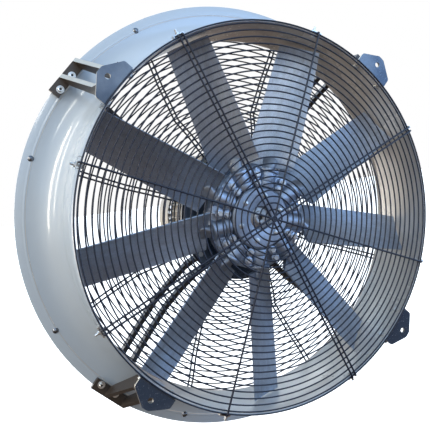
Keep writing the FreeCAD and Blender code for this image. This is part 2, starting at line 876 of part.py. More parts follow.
def terminal_box():
    half = box_width / 2
    body = Part.makeBox(box_width, box_depth, box_height - lid_thickness, vec(-half, box_y, box_z))
    room = Part.makeBox(
        box_width - 2 * box_wall,
        box_depth - 2 * box_wall,
        box_height,
        vec(-half + box_wall, box_y + box_wall, box_z + box_wall),
    )
    corners = [e for e in body.Edges if abs(e.Vertexes[0].Z - e.Vertexes[-1].Z) > 10]
    body = body.makeFillet(box_corner_r, corners)
    at = gland_place() - vec(box_wall + 1, 0, 0)
    port = Part.makeCylinder(gland_r - 3.0, box_wall + 2, at, vec(1, 0, 0))
    return body.cut(room).cut(port)


def gland_place():
    return vec(box_width / 2, box_y + box_depth / 2, box_z + box_height / 2 - 4.0)


def terminal_lid():
    half = box_width / 2
    lid = Part.makeBox(box_width, box_depth, lid_thickness, vec(-half, box_y, box_top - lid_thickness))
    corners = [e for e in lid.Edges if abs(e.Vertexes[0].Z - e.Vertexes[-1].Z) > 1]
    lid = lid.makeFillet(box_corner_r, corners)
    up = vec(0, 0, 1)
    tools = [Part.makeCylinder(2.5, lid_thickness + 2, p - up, up) for p in lid_screw_places()]
    return lid.cut(Part.makeCompound(tools))


def lid_screw_places():
    z = box_top - lid_thickness
    xs = (-box_width / 2 + lid_screw_inset, box_width / 2 - lid_screw_inset)
    ys = (box_y + lid_screw_inset, box_y + box_depth - lid_screw_inset)
    return [vec(x, y, z) for x in xs for y in ys]


def lid_screws():
    screws = []
    for p in lid_screw_places():
        head = Part.makeCylinder(4.5, 3, p + vec(0, 0, lid_thickness), vec(0, 0, 1))
        screws.append(fused([head, Part.makeCylinder(2.0, lid_thickness, p, vec(0, 0, 1))]))
    return screws


def cable_gland():
    at = gland_place()
    out = vec(1, 0, 0)
    body = hexagon(2 * gland_r, 8.0, at, out)
    cap = Part.makeCylinder(gland_r - 1.0, 16.0, at + out * 8.0, out)
    cap = cap.makeFillet(3.0, [e for e in cap.Edges if abs(e.CenterOfMass.x - (at.x + 24.0)) < 0.01])
    thread = Part.makeCylinder(gland_r - 3.2, box_wall + 3, at - out * (box_wall + 3), out)
    return fused([body, cap, thread]).cut(Part.makeCylinder(5.0, 60, at - out * 20, out))


def terminal_block():
    base = Part.makeBox(70, 34, 14, vec(-35, box_y + box_depth / 2 - 17, box_z + box_wall))
    studs = []
    for k in range(6):
        at = vec(-25 + 25 * (k % 3), box_y + box_depth / 2 - 8 + 16 * (k // 3), box_z + box_wall + 14)
        studs.append(Part.makeCylinder(2.5, 12, at, vec(0, 0, 1)))
    return fused([base] + studs)


# ---- bearings -----------------------------------------------------------
def ball_groove(y):
    middle = vec(0, y + bearing_width / 2, 0)
    return Part.makeTorus(ball_circle_r, ball_r + race_clearance, middle, y_axis)


def bearing_outer_rings():
    rings = []
    for y in bearing_ys:
        ring = tube(bearing_outer_r, race_out_r, y, y + bearing_width)
        rings.append(ring.cut(ball_groove(y)))
    return rings


def bearing_inner_rings():
    rings = []
    for y in bearing_ys:
        ring = tube(race_in_r, bearing_bore_r, y, y + bearing_width)
        rings.append(ring.cut(ball_groove(y)))
    return rings


def bearing_balls():
    balls = []
    for y in bearing_ys:
        for k in range(ball_count):
            at = polar(ball_circle_r, k * 360 / ball_count, y + bearing_width / 2)
            balls.append(Part.makeSphere(ball_r, at))
    return balls


def bearing_seals():
    # thin discs that close the gap between the rings on both faces
    seals = []
    for y in bearing_ys:
        for y0 in (y, y + bearing_width - seal_thickness):
            seals.append(tube(race_out_r, race_in_r + rib_gap, y0, y0 + seal_thickness))
    return seals


# ---- rotor --------------------------------------------------------------
def motor_shaft():
    seat = rotor_bore_r
    shoulder = seat + rotor_shoulder
    front_seat = front_bearing_y - 2.0
    outline = [
        (0, shaft_end),
        (shaft_r, shaft_end),
        (shaft_r, front_seat),
        (bearing_bore_r, front_seat),
        (bearing_bore_r, front_bearing_y + bearing_width),
        (shoulder, front_bearing_y + bearing_width),
        (shoulder, core_y),
        (seat, core_y),
        (seat, core_y + core_length + 5.0),
        (shoulder, core_y + core_length + 5.0),
        (shoulder, rear_bearing_y),
        (bearing_bore_r, rear_bearing_y),
        (bearing_bore_r, rear_bearing_y + bearing_width),
        (shaft_r - 2.0, rear_bearing_y + bearing_width),
        (shaft_r - 2.0, cooling_end),
        (0, cooling_end),
    ]
    shaft = revolved(outline)
    keyway = Part.makeBox(key_width, key_length(), keyway_depth + 1.0, key_corner())
    centre = Part.makeCylinder(5.0, 26.0, vec(0, shaft_end, 0), y_axis)
    return shaft.cut(keyway).cut(centre)


def rotor_core():
    return tube(core_r, rotor_bore_r, core_y, core_y + core_length)


def key_length():
    return boss_end - shaft_end - 2 * key_inset


def key_corner():
    return vec(-key_width / 2, shaft_end + key_inset, shaft_r - keyway_depth)


def shaft_key():
    return Part.makeBox(key_width, key_length(), key_height, key_corner())


def cooling_fan():
    y0 = shield_end + cooling_fan_setback
    y1 = cooling_end
    hub = tube(cooling_hub_r, shaft_r - 2.0, y0, y1)
    plate = tube(cooling_fan_r, cooling_hub_r - 2.0, y0, y0 + 4.0)
    paddle = block(cooling_hub_r - 4.0, cooling_fan_r - 2.0, y0 + 2.0, y1, -1.5, 1.5)
    blades = [turned(paddle, 60.0 * k) for k in range(6)]
    return fused([hub, plate] + blades)


def taper_bush():
    bush = tube(bush_r, shaft_r, shaft_end, boss_end)
    corner = vec(-key_width / 2, shaft_end - 1.0, shaft_r - 1.0)
    slot = Part.makeBox(key_width, boss_end - shaft_end + 2.0, key_height - keyway_depth + 1.0, corner)
    return bush.cut(slot)


def end_bolt():
    size = m12
    washer = tube(end_washer_r, size[0] + hole_gap, shaft_end - end_washer_thickness, shaft_end)
    head = bolt((5.0, size[1], size[2]), vec(0, shaft_end - end_washer_thickness, 0), y_axis * -1, 25.0)
    return [washer, head]


def socket_tools(gap):
    # the space that a blade's shank and collar take in the hub
    tools = []
    for k in range(blade_count):
        shank = Part.makeCylinder(shank_r + gap, hub_r, vec(collar_inner, blade_y, 0), vec(1, 0, 0))
        at = vec(collar_inner - gap, blade_y, 0)
        collar = Part.makeCylinder(collar_r + gap, collar_width + 2 * gap, at, vec(1, 0, 0))
        tools += [turned(piece, blade_angle(k)) for piece in (shank, collar)]
    return tools


def blade_angle(k):
    return blade_start + k * 360 / blade_count


def hub_bolt_places(y):
    places = []
    for k in range(blade_count):
        for r in hub_bolt_circles:
            places.append(polar(r, blade_angle(k + 0.5), y))
    return places


def hub_front_half():
    ring_face = hub_front + hub_face_drop
    outline = [
        (hub_hole_r, hub_front),
        (hub_face_r - 4.0, hub_front),
        (hub_face_r, hub_front + 4.0),
        (hub_face_r, ring_face),
        (hub_r - 6.0, ring_face),
        (hub_r, ring_face + 6.0),
        (hub_r, blade_y),
        (hub_hole_r, blade_y),
    ]
    tools = socket_tools(socket_gap)
    tools += [hole(m8, at, y_axis, hub_half_height + 4) for at in hub_bolt_places(hub_front - 2)]
    return revolved(outline).cut(Part.makeCompound(tools[0::2])).cut(Part.makeCompound(tools[1::2]))


def hub_rear_half():
    outline = [
        (bush_r, blade_y + 2.0),
        (hub_hole_r + 4.0, blade_y),
        (hub_r, blade_y),
        (hub_r, hub_back - 6.0),
        (hub_r - 6.0, hub_back),
        (boss_r, hub_back),
        (boss_r, boss_end),
        (bush_r, boss_end),
    ]
    tools = socket_tools(socket_gap)
    tools += [hole(m8, at, y_axis, hub_half_height + 4) for at in hub_bolt_places(blade_y - 2)]
    return revolved(outline).cut(Part.makeCompound(tools[0::2])).cut(Part.makeCompound(tools[1::2]))


def hub_bolts():
    seat = hub_front + hub_face_drop
    grip = hub_back - seat - 2.0
    return [bolt(m8, at, y_axis * -1, grip) for at in hub_bolt_places(seat)]


def blade_section(r, chord, pitch, thickness):
    # cambered section at one radius: a point at each edge and a bulge between
    beta = math.radians(pitch)
    rise = camber * chord

    def at(share, side):
        s = (share - 0.5) * chord
        swell = 1 - (2 * share - 1) ** 2
        n = rise * swell + side * thickness / 2 * (edge_share + (1 - edge_share) * swell)
        t = s * math.cos(beta) - n * math.sin(beta)
        y = s * math.sin(beta) + n * math.cos(beta)
        return vec(r, blade_y + y, t)

    shares = [0.0, 0.12, 0.3, 0.5, 0.7, 0.88, 1.0]
    top = Part.BSplineCurve()
    top.interpolate([at(s, 1) for s in shares])
    bottom = Part.BSplineCurve()
    bottom.interpolate([at(s, -1) for s in shares])
    front = Part.LineSegment(at(0.0, -1), at(0.0, 1)).toShape()
    back = Part.LineSegment(at(1.0, 1), at(1.0, -1)).toShape()
    return Part.Wire([front, top.toShape(), back, bottom.toShape()])


def blade(k):
    tip = impeller_d / 2
    sections = []
    for share in (0.0, 0.35, 0.7, 1.0):
        r = root_r + share * (tip + blade_overrun - root_r)
        chord = chord_root + share * (chord_tip - chord_root)
        pitch = pitch_root + share * (pitch_tip - pitch_root)
        thickness = blade_thickness_root + share * (blade_thickness_tip - blade_thickness_root)
        sections.append(blade_section(r, chord, pitch, thickness))
    plate = Part.makeLoft(sections, True, False).common(disc(tip, blade_y - chord_root, blade_y + chord_root))
    shank_end = root_r + shank_lap
    inner = vec(collar_inner, blade_y, 0)
    out = vec(1, 0, 0)
    shank = Part.makeCylinder(shank_r, shank_end - collar_inner, inner, out)
    nose = Part.makeCone(shank_r, nose_r, blade_nose, vec(shank_end, blade_y, 0), out)
    collar = Part.makeCylinder(collar_r, collar_width, inner, out)
    return turned(fused([plate, shank, nose, collar]), blade_angle(k))


# ---- export -------------------------------------------------------------
def save(node, shapes):
    whole = shapes if not isinstance(shapes, list) else Part.makeCompound(shapes)
    whole.exportStep("parts/" + node + ".step")
    solids = whole.Solids
    bad = "" if whole.isValid() else "  NOT VALID"
    print(f"{node}: {len(solids)} solids, {sum(s.Volume for s in solids) / 1000:.1f} cm3{bad}")


def main():
    os.makedirs("parts", exist_ok=True)
    single = [
        fan_casing,
        front_guard_spokes,
        front_guard_rings,
        front_guard_clips,
        front_guard_screws,
        front_guard_nuts,
        rear_guard_spokes,
        rear_guard_rings,
        flange_bolts,
        flange_nuts,
        lug_screws,
        lug_nuts,
        bracket_arms,
        foot_bolts,
        foot_washers,
        foot_nuts,
        motor_support_arms,
        motor_plate,
        tab_screws,
        tab_nuts,
        drive_end_shield,
        motor_bolts,
        motor_nuts,
        motor_frame,
        stator_core,
        stator_windings,
        rear_end_shield,
        fan_cowl,
        cowl_screws,
        terminal_box,
        terminal_lid,
        lid_screws,
        cable_gland,
        terminal_block,
        bearing_outer_rings,
        bearing_inner_rings,
        bearing_balls,
        bearing_seals,
        motor_shaft,
        rotor_core,
        shaft_key,
        cooling_fan,
        taper_bush,
        end_bolt,
        hub_front_half,
        hub_rear_half,
        hub_bolts,
    ]
    for make in single:
        save(make.__name__, make())
    for place, angle in lug_angles.items():
        save("lug_" + place, lug(angle))
    for k in range(blade_count):
        save(f"blade_{k + 1}", blade(k))


main()
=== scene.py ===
import json
import math
import bpy
import bmesh
from mathutils import Matrix, Vector


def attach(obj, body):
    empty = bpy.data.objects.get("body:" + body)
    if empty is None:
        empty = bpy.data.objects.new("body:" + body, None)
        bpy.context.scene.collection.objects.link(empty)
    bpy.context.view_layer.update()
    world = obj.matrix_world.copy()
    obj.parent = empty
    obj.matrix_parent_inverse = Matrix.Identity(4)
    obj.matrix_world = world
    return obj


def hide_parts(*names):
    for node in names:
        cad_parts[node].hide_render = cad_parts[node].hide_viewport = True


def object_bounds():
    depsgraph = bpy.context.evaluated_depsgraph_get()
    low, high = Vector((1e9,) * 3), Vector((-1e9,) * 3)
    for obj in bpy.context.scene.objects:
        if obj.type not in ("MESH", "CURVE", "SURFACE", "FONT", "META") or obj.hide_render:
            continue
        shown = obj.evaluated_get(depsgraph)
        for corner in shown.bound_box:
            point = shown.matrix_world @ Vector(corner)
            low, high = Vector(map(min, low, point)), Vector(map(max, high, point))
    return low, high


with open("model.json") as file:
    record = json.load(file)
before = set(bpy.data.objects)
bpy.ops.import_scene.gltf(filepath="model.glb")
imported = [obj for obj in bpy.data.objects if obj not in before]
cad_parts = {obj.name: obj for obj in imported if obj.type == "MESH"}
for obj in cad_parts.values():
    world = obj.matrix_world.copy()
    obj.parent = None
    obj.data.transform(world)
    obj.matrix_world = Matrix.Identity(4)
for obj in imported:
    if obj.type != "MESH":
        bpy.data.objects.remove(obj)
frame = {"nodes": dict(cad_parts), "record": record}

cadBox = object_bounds()
nodes = frame["nodes"]
record = frame["record"]
bodyOf = {node: body for body, members in record["behaviour"]["bodies"].items() for node in members}
slotOf = {part["node"]: part["material_slot"] for part in record["subparts"]}
mm = 0.001

# ---------- camera, light and floor
stage = {
    "cameraAt": (-0.6745, -1.2451, 0.1345),
    "aim": (-0.1615, 0.0, 0.0327),
    "up": (0.1288, 0.0, 0.9917),
    "lens": 45.57,
    "sensor": 36.0,
    "clipStart": 0.01,
    "floorDrop": 0.02,
    "floorSize": 30.0,
    "floorColour": (0.9, 0.86, 0.8),
    "floorRoughness": 0.9,
    "floorGlow": (1.0, 0.98, 0.95),
    "floorGlowPower": 0.95,
    # share of the way from straight down to straight up, and the light's colour there
    "sky": [(0.0, (0.075, 0.062, 0.055)), (0.44, (0.22, 0.168, 0.135)), (0.5, (0.74, 0.7, 0.62)),
            (0.58, (0.52, 0.68, 0.92)), (0.8, (0.58, 0.78, 1.0)), (1.0, (0.5, 0.74, 1.1))],
    "skyPower": 1.25,
    "backdrop": (1.0, 1.0, 1.0),
}


def aimed(at, target, up):
    back = (Vector(at) - Vector(target)).normalized()
    right = Vector(up).cross(back).normalized()
    top = back.cross(right)
    turn = Matrix((right, top, back)).transposed().to_4x4()
    return Matrix.Translation(at) @ turn


def makeCamera():
    data = bpy.data.cameras.new("camera")
    data.lens = stage["lens"]
    data.sensor_width = stage["sensor"]
    data.clip_start = stage["clipStart"]
    camera = bpy.data.objects.new("camera", data)
    camera.matrix_world = aimed(stage["cameraAt"], stage["aim"], stage["up"])
    bpy.context.collection.objects.link(camera)
    bpy.context.scene.camera = camera


def makeLight(name, at, target, size, power, colour):
    data = bpy.data.lights.new(name, "AREA")
    data.shape = "RECTANGLE"
    data.size, data.size_y = size
    data.energy = power
    data.color = colour
    light = bpy.data.objects.new(name, data)
    light.matrix_world = aimed(at, target, (0, 0.01, 1))
    light.visible_camera = False
    bpy.context.collection.objects.link(light)


def makeWorld():
    # warm and dim below, pale along the horizon and blue overhead
    world = bpy.data.worlds.new("studio")
    bpy.context.scene.world = world
    world.use_nodes = True
    tree = world.node_tree
    where = tree.nodes.new("ShaderNodeTexCoord")
    split = tree.nodes.new("ShaderNodeSeparateXYZ")
    share = tree.nodes.new("ShaderNodeMapRange")
    share.inputs["From Min"].default_value = -1.0
    tint = tree.nodes.new("ShaderNodeValToRGB")
    stops = tint.color_ramp.elements
    stops[0].position, stops[0].color = stage["sky"][0][0], (*stage["sky"][0][1], 1)
    stops[1].position, stops[1].color = stage["sky"][-1][0], (*stage["sky"][-1][1], 1)
    for place, colour in stage["sky"][1:-1]:
        stop = stops.new(place)
        stop.color = (*colour, 1)
    background = tree.nodes["Background"]
    background.inputs["Strength"].default_value = stage["skyPower"]
    tree.links.new(where.outputs["Generated"], split.inputs["Vector"])
    tree.links.new(split.outputs["Z"], share.inputs["Value"])
    tree.links.new(share.outputs["Result"], tint.inputs["Fac"])
    tree.links.new(tint.outputs["Color"], background.inputs["Color"])
    # the sky lights the object, while what shows behind it stays a plain pale backdrop
    plain = tree.nodes.new("ShaderNodeBackground")
    plain.inputs["Color"].default_value = (*stage["backdrop"], 1)
    seen = tree.nodes.new("ShaderNodeLightPath")
    choose = tree.nodes.new("ShaderNodeMixShader")
    tree.links.new(seen.outputs["Is Camera Ray"], choose.inputs["Fac"])
    tree.links.new(background.outputs["Background"], choose.inputs[1])
    tree.links.new(plain.outputs["Background"], choose.inputs[2])
    tree.links.new(choose.outputs["Shader"], tree.nodes["World Output"].inputs["Surface"])
    bpy.context.scene.view_settings.view_transform = "Standard"


def makeFloor():
    bm = bmesh.new()
    bmesh.ops.create_grid(bm, x_segments=1, y_segments=1, size=stage["floorSize"] / 2)
    bmesh.ops.translate(bm, verts=bm.verts, vec=(0, 0, cadBox[0][2] - stage["floorDrop"]))
    mesh = bpy.data.meshes.new("floor")
    bm.to_mesh(mesh)
    bm.free()
    floor = bpy.data.objects.new("floor", mesh)
    bpy.context.collection.objects.link(floor)
    material = bpy.data.materials.new("paleFloor")
    material.use_nodes = True
    shader = material.node_tree.nodes["Principled BSDF"]
    shader.inputs["Base Color"].default_value = (*stage["floorColour"], 1)
    shader.inputs["Roughness"].default_value = stage["floorRoughness"]
    shader.inputs["Emission Color"].default_value = (*stage["floorGlow"], 1)
    shader.inputs["Emission Strength"].default_value = stage["floorGlowPower"]
    mesh.materials.append(material)
    floor.visible_diffuse = False
    floor.visible_glossy = False


# each light: where it stands, what it faces, its size in metres, its power in watts and its colour
lights = {
    "keyLight": ((-3.1, -1.0, 1.3), (-0.3, 0, 0), (0.4, 2.6), 56, (1.0, 0.9, 0.74)),
    "sideKey": ((-3.0, 0.3, 1.5), (-0.3, 0, 0), (0.2, 2.4), 22, (1.0, 0.88, 0.7)),
    "stripLight": ((-1.2, -3.0, 2.0), (-0.1, 0, 0), (0.3, 1.2), 12, (1.0, 0.96, 0.86)),
    "boreLight": ((-1.9, 3.0, -0.3), (0.3, 0, 0), (1.6, 1.6), 40, (1.0, 0.96, 0.9)),
    "skyFill": ((2.0, -3.0, 1.2), (0, 0, 0), (2.4, 2.4), 44, (0.28, 0.54, 1.0)),
    "lowFill": ((2.6, -1.2, -0.1), (0, 0, -0.2), (0.9, 0.9), 24, (0.28, 0.54, 1.0)),
    "backLight": ((1.6, 3.0, 2.2), (0, 0, 0), (2.0, 2.0), 20, (1.0, 1.0, 1.0)),
}

makeCamera()
makeWorld()
makeFloor()
for name, settings in lights.items():
    makeLight(name, *settings)
print("stage ready")


# ---------- shader groups
def addNode(tree, kind, **settings):
    node = tree.nodes.new(kind)
    for key, value in settings.items():
        setattr(node, key, value)
    return node


def joined(tree, pairs):
    for source, target in pairs:
        tree.links.new(source, target)


def ramp(tree, low, high):
    node = addNode(tree, "ShaderNodeMapRange")
    node.inputs["From Min"].default_value = low
    node.inputs["From Max"].default_value = high
    return node


def noiseNode(tree, scale, detail, rough):
    node = addNode(tree, "ShaderNodeTexNoise")
    node.inputs["Scale"].default_value = scale
    node.inputs["Detail"].default_value = detail
    node.inputs["Roughness"].default_value = rough
    return node


def newGroup(name, inputs, outputs):
    group = bpy.data.node_groups.new(name, "ShaderNodeTree")
    for label, kind in inputs:
        group.interface.new_socket(name=label, in_out="INPUT", socket_type=kind)
    for label, kind in outputs:
        group.interface.new_socket(name=label, in_out="OUTPUT", socket_type=kind)
    return group, group.nodes.new("NodeGroupInput"), group.nodes.new("NodeGroupOutput")


# noise is scale, detail and roughness; a mask is the noise range that it stretches to 0..1
paintLook = {
    "broad": (3.2, 6.0, 0.6), "broadMask": (0.42, 0.78), "scuff": (46.0, 8.0, 0.72),
    "scuffMask": (0.58, 0.74), "peel": (520.0, 2.0, 0.5), "dustRoughness": 0.28, "scuffHeight": 0.25,
    "bumpDistance": 0.0006, "coatRoughness": 0.12,
}
metalLook = {
    "grain": (60.0, 4.0, 0.6), "cloud": (9.0, 7.0, 0.65), "cloudMask": (0.4, 0.72), "fleckMask": (0.46, 0.66),
    "grainRoughness": 0.22, "stainRoughness": 0.2, "bumpDistance": 0.0004,
}


def makeWornPaint():
    # paint with broad dust clouds, a fine orange peel and small scuffs
    group, given, result = newGroup(
        "wornPaint",
        [("Vector", "NodeSocketVector"), ("Paint", "NodeSocketColor"), ("Dust", "NodeSocketColor"),
         ("Dust Amount", "NodeSocketFloat"), ("Scuff Scale", "NodeSocketFloat"),
         ("Roughness", "NodeSocketFloat")],
        [("Color", "NodeSocketColor"), ("Roughness", "NodeSocketFloat"), ("Height", "NodeSocketFloat")],
    )
    broad = noiseNode(group, *paintLook["broad"])
    scuff = noiseNode(group, *paintLook["scuff"])
    peel = noiseNode(group, *paintLook["peel"])
    broadMask = ramp(group, *paintLook["broadMask"])
    scuffMask = ramp(group, *paintLook["scuffMask"])
    both = addNode(group, "ShaderNodeMath", operation="MAXIMUM")
    amount = addNode(group, "ShaderNodeMath", operation="MULTIPLY")
    blend = addNode(group, "ShaderNodeMix", data_type="RGBA")
    rough = addNode(group, "ShaderNodeMath", operation="MULTIPLY_ADD")
    rough.inputs[1].default_value = paintLook["dustRoughness"]
    height = addNode(group, "ShaderNodeMath", operation="MULTIPLY_ADD")
    height.inputs[1].default_value = paintLook["scuffHeight"]
    joined(group, [
        (given.outputs["Vector"], broad.inputs["Vector"]),
        (given.outputs["Vector"], scuff.inputs["Vector"]),
        (given.outputs["Vector"], peel.inputs["Vector"]),
        (given.outputs["Scuff Scale"], scuff.inputs["Scale"]),
        (broad.outputs["Fac"], broadMask.inputs["Value"]),
        (scuff.outputs["Fac"], scuffMask.inputs["Value"]),
        (broadMask.outputs["Result"], both.inputs[0]),
        (scuffMask.outputs["Result"], both.inputs[1]),
        (both.outputs[0], amount.inputs[0]),
        (given.outputs["Dust Amount"], amount.inputs[1]),
        (amount.outputs[0], blend.inputs["Factor"]),
        (given.outputs["Paint"], blend.inputs["A"]),
        (given.outputs["Dust"], blend.inputs["B"]),
        (amount.outputs[0], rough.inputs[0]),
        (given.outputs["Roughness"], rough.inputs[2]),
        (scuff.outputs["Fac"], height.inputs[0]),
        (peel.outputs["Fac"], height.inputs[2]),
        (blend.outputs["Result"], result.inputs["Color"]),
        (rough.outputs[0], result.inputs["Roughness"]),
        (height.outputs[0], result.inputs["Height"]),
    ])
    return group


def makeMetalGrain():
    # drawn, rolled or cast metal: stretched grain over cloudy staining, with flecks of stain in the grain
    group, given, result = newGroup(
        "metalGrain",
        [("Vector", "NodeSocketVector"), ("Metal", "NodeSocketColor"), ("Stain", "NodeSocketColor"),
         ("Stain Amount", "NodeSocketFloat"), ("Stretch", "NodeSocketVector"), ("Speckle", "NodeSocketFloat"),
         ("Roughness", "NodeSocketFloat")],
        [("Color", "NodeSocketColor"), ("Roughness", "NodeSocketFloat"), ("Height", "NodeSocketFloat")],
    )
    stretched = addNode(group, "ShaderNodeVectorMath", operation="MULTIPLY")
    grain = noiseNode(group, *metalLook["grain"])
    cloud = noiseNode(group, *metalLook["cloud"])
    cloudMask = ramp(group, *metalLook["cloudMask"])
    amount = addNode(group, "ShaderNodeMath", operation="MULTIPLY")
    blend = addNode(group, "ShaderNodeMix", data_type="RGBA")
    fleckMask = ramp(group, *metalLook["fleckMask"])
    fleck = addNode(group, "ShaderNodeMath", operation="MULTIPLY_ADD", use_clamp=True)
    streak = addNode(group, "ShaderNodeMath", operation="MULTIPLY_ADD")
    streak.inputs[1].default_value = metalLook["grainRoughness"]
    rough = addNode(group, "ShaderNodeMath", operation="MULTIPLY_ADD")
    rough.inputs[1].default_value = metalLook["stainRoughness"]
    joined(group, [
        (given.outputs["Vector"], stretched.inputs[0]),
        (given.outputs["Stretch"], stretched.inputs[1]),
        (stretched.outputs["Vector"], grain.inputs["Vector"]),
        (given.outputs["Vector"], cloud.inputs["Vector"]),
        (cloud.outputs["Fac"], cloudMask.inputs["Value"]),
        (cloudMask.outputs["Result"], amount.inputs[0]),
        (given.outputs["Stain Amount"], amount.inputs[1]),
        (grain.outputs["Fac"], fleckMask.inputs["Value"]),
        (fleckMask.outputs["Result"], fleck.inputs[0]),
        (given.outputs["Speckle"], fleck.inputs[1]),
        (amount.outputs[0], fleck.inputs[2]),
        (fleck.outputs[0], blend.inputs["Factor"]),
        (given.outputs["Metal"], blend.inputs["A"]),
        (given.outputs["Stain"], blend.inputs["B"]),
        (grain.outputs["Fac"], streak.inputs[0]),
        (given.outputs["Roughness"], streak.inputs[2]),
        (amount.outputs[0], rough.inputs[0]),
        (streak.outputs[0], rough.inputs[2]),
        (blend.outputs["Result"], result.inputs["Color"]),
        (rough.outputs[0], result.inputs["Roughness"]),
        (grain.outputs["Fac"], result.inputs["Height"]),
    ])
    return group


wornPaint = makeWornPaint()
metalGrain = makeMetalGrain()


# ---------- materials
def startMaterial(name, group, uvMap=None):
    material = bpy.data.materials.new(name)
    material.use_nodes = True
    tree = material.node_tree
    shader = tree.nodes["Principled BSDF"]
    if uvMap:
        where = addNode(tree, "ShaderNodeUVMap", uv_map=uvMap)
        vector = where.outputs["UV"]
    else:
        where = addNode(tree, "ShaderNodeTexCoord")
        vector = where.outputs["Object"]
    effect = addNode(tree, "ShaderNodeGroup", node_tree=group)
    bump = addNode(tree, "ShaderNodeBump")
    joined(tree, [
        (vector, effect.inputs["Vector"]),
        (effect.outputs["Color"], shader.inputs["Base Color"]),
        (effect.outputs["Roughness"], shader.inputs["Roughness"]),
        (effect.outputs["Height"], bump.inputs["Height"]),
        (bump.outputs["Normal"], shader.inputs["Normal"]),
    ])
    return material, shader, effect, bump


def paintMaterial(name, paint, dust, dustAmount, roughness, peel, coat=0.0, metallic=0.0,
                  scuffScale=paintLook["scuff"][0]):
    material, shader, effect, bump = startMaterial(name, wornPaint)
    effect.inputs["Paint"].default_value = (*paint, 1)
    effect.inputs["Dust"].default_value = (*dust, 1)
    effect.inputs["Dust Amount"].default_value = dustAmount
    effect.inputs["Scuff Scale"].default_value = scuffScale
    effect.inputs["Roughness"].default_value = roughness
    bump.inputs["Strength"].default_value = peel
    bump.inputs["Distance"].default_value = paintLook["bumpDistance"]
    shader.inputs["Coat Weight"].default_value = coat
    shader.inputs["Coat Roughness"].default_value = paintLook["coatRoughness"]
    shader.inputs["Metallic"].default_value = metallic
    return material


def metalMaterial(name, metal, stain, stainAmount, roughness, bumpStrength, stretch, uvMap=None, speckle=0.0):
    material, shader, effect, bump = startMaterial(name, metalGrain, uvMap)
    effect.inputs["Metal"].default_value = (*metal, 1)
    effect.inputs["Stain"].default_value = (*stain, 1)
    effect.inputs["Stain Amount"].default_value = stainAmount
    effect.inputs["Stretch"].default_value = stretch
    effect.inputs["Speckle"].default_value = speckle
    effect.inputs["Roughness"].default_value = roughness
    bump.inputs["Strength"].default_value = bumpStrength
    bump.inputs["Distance"].default_value = metalLook["bumpDistance"]
    shader.inputs["Metallic"].default_value = 1.0
    return material


bladeMap = "bladeMap"
# one finish for each material slot of the record
finishes = {
    "casing_paint": paintMaterial(
        "casingPaint", (0.43, 0.485, 0.535), (0.46, 0.43, 0.36), 0.14, 0.3, 0.08, coat=1.0),
    "guard_coating": paintMaterial(
        "guardCoating", (0.004, 0.006, 0.017), (0.025, 0.033, 0.055), 0.18, 0.36, 0.2, coat=0.06),
    "zinc_steel": metalMaterial(
        "zincPlate", (0.72, 0.72, 0.7), (0.36, 0.37, 0.39), 0.5, 0.2, 0.15, (3, 3, 3)),
    "black_steel": paintMaterial(
        "bracketPaint", (0.045, 0.066, 0.1), (0.5, 0.53, 0.55), 0.6, 0.26, 0.6, coat=0.25, metallic=0.55,
        scuffScale=150.0),
    # the blue in the blade metal colour is a painted reflection of the sky
    "blade_aluminium": metalMaterial(
        "bladeAluminium", (0.47, 0.53, 0.635), (0.27, 0.275, 0.29), 0.45, 0.28, 0.3, (2.2, 0.9, 1), bladeMap,
        speckle=0.55),
    # the blue in the hub metal colour is a painted reflection of the sky
    "hub_casting": metalMaterial(
        "hubCasting", (0.48, 0.54, 0.64), (0.14, 0.145, 0.17), 0.7, 0.32, 1.0, (1, 1, 1)),
    "motor_paint": paintMaterial(
        "motorPaint", (0.42, 0.37, 0.3), (0.5, 0.45, 0.36), 0.5, 0.42, 0.5, coat=0.1),
    "core_laminations": metalMaterial(
        "coreLaminations", (0.3, 0.29, 0.28), (0.1, 0.09, 0.08), 0.5, 0.45, 0.5, (1, 40, 1)),
    "winding_enamel": paintMaterial(
        "windingEnamel", (0.35, 0.1, 0.03), (0.2, 0.05, 0.01), 0.6, 0.3, 0.6, coat=0.6),
    "black_plastic": paintMaterial(
        "blackPlastic", (0.02, 0.02, 0.021), (0.08, 0.08, 0.08), 0.4, 0.5, 0.5),
    "bearing_steel": metalMaterial(
        "bearingSteel", (0.75, 0.75, 0.76), (0.6, 0.6, 0.62), 0.3, 0.12, 0.05, (1, 1, 1)),
    "bare_steel": metalMaterial(
        "bareSteel", (0.5, 0.49, 0.48), (0.25, 0.2, 0.16), 0.5, 0.3, 0.3, (4, 4, 4)),
}
# finishes of single surfaces
innerWall = paintMaterial(
    "boreCoating", (0.66, 0.62, 0.57), (0.38, 0.345, 0.3), 0.5, 0.26, 0.2, coat=0.3, metallic=0.3)
# light bare metal for the lugs' cut rims; on the arms' upward outer faces the same colour is a painted sky
# reflection
cutEdge = metalMaterial("cutEdge", (0.66, 0.62, 0.55), (0.3, 0.27, 0.23), 0.4, 0.4, 0.5, (6, 6, 6))
armPaint = paintMaterial(
    "armPaint", (0.03, 0.021, 0.015), (0.13, 0.095, 0.07), 0.4, 0.4, 0.5, coat=0.1, scuffScale=120.0)
domeSteel = metalMaterial("domeSteel", (0.2, 0.21, 0.23), (0.08, 0.08, 0.09), 0.4, 0.14, 0.2, (3, 3, 3))
shankMetal = metalMaterial("shankMetal", (0.34, 0.36, 0.4), (0.16, 0.16, 0.17), 0.6, 0.34, 0.6, (3, 3, 3))
ownPaint = {"bracket_arms": armPaint, "motor_support_arms": armPaint, "flange_bolts": domeSteel}


def finishOf(node):
    return ownPaint.get(node, finishes[slotOf[node]])


for node, thing in nodes.items():
    thing.data.materials.clear()
    thing.data.materials.append(finishOf(node))
print("materials ready")


# ---------- pieces
# merging distances in metres, angles in degrees
meshing = {"weld": 1e-6, "weldTriangles": 5e-6, "flatAngle": 0.6, "sharp": 35.0, "softAngle": 38.0}


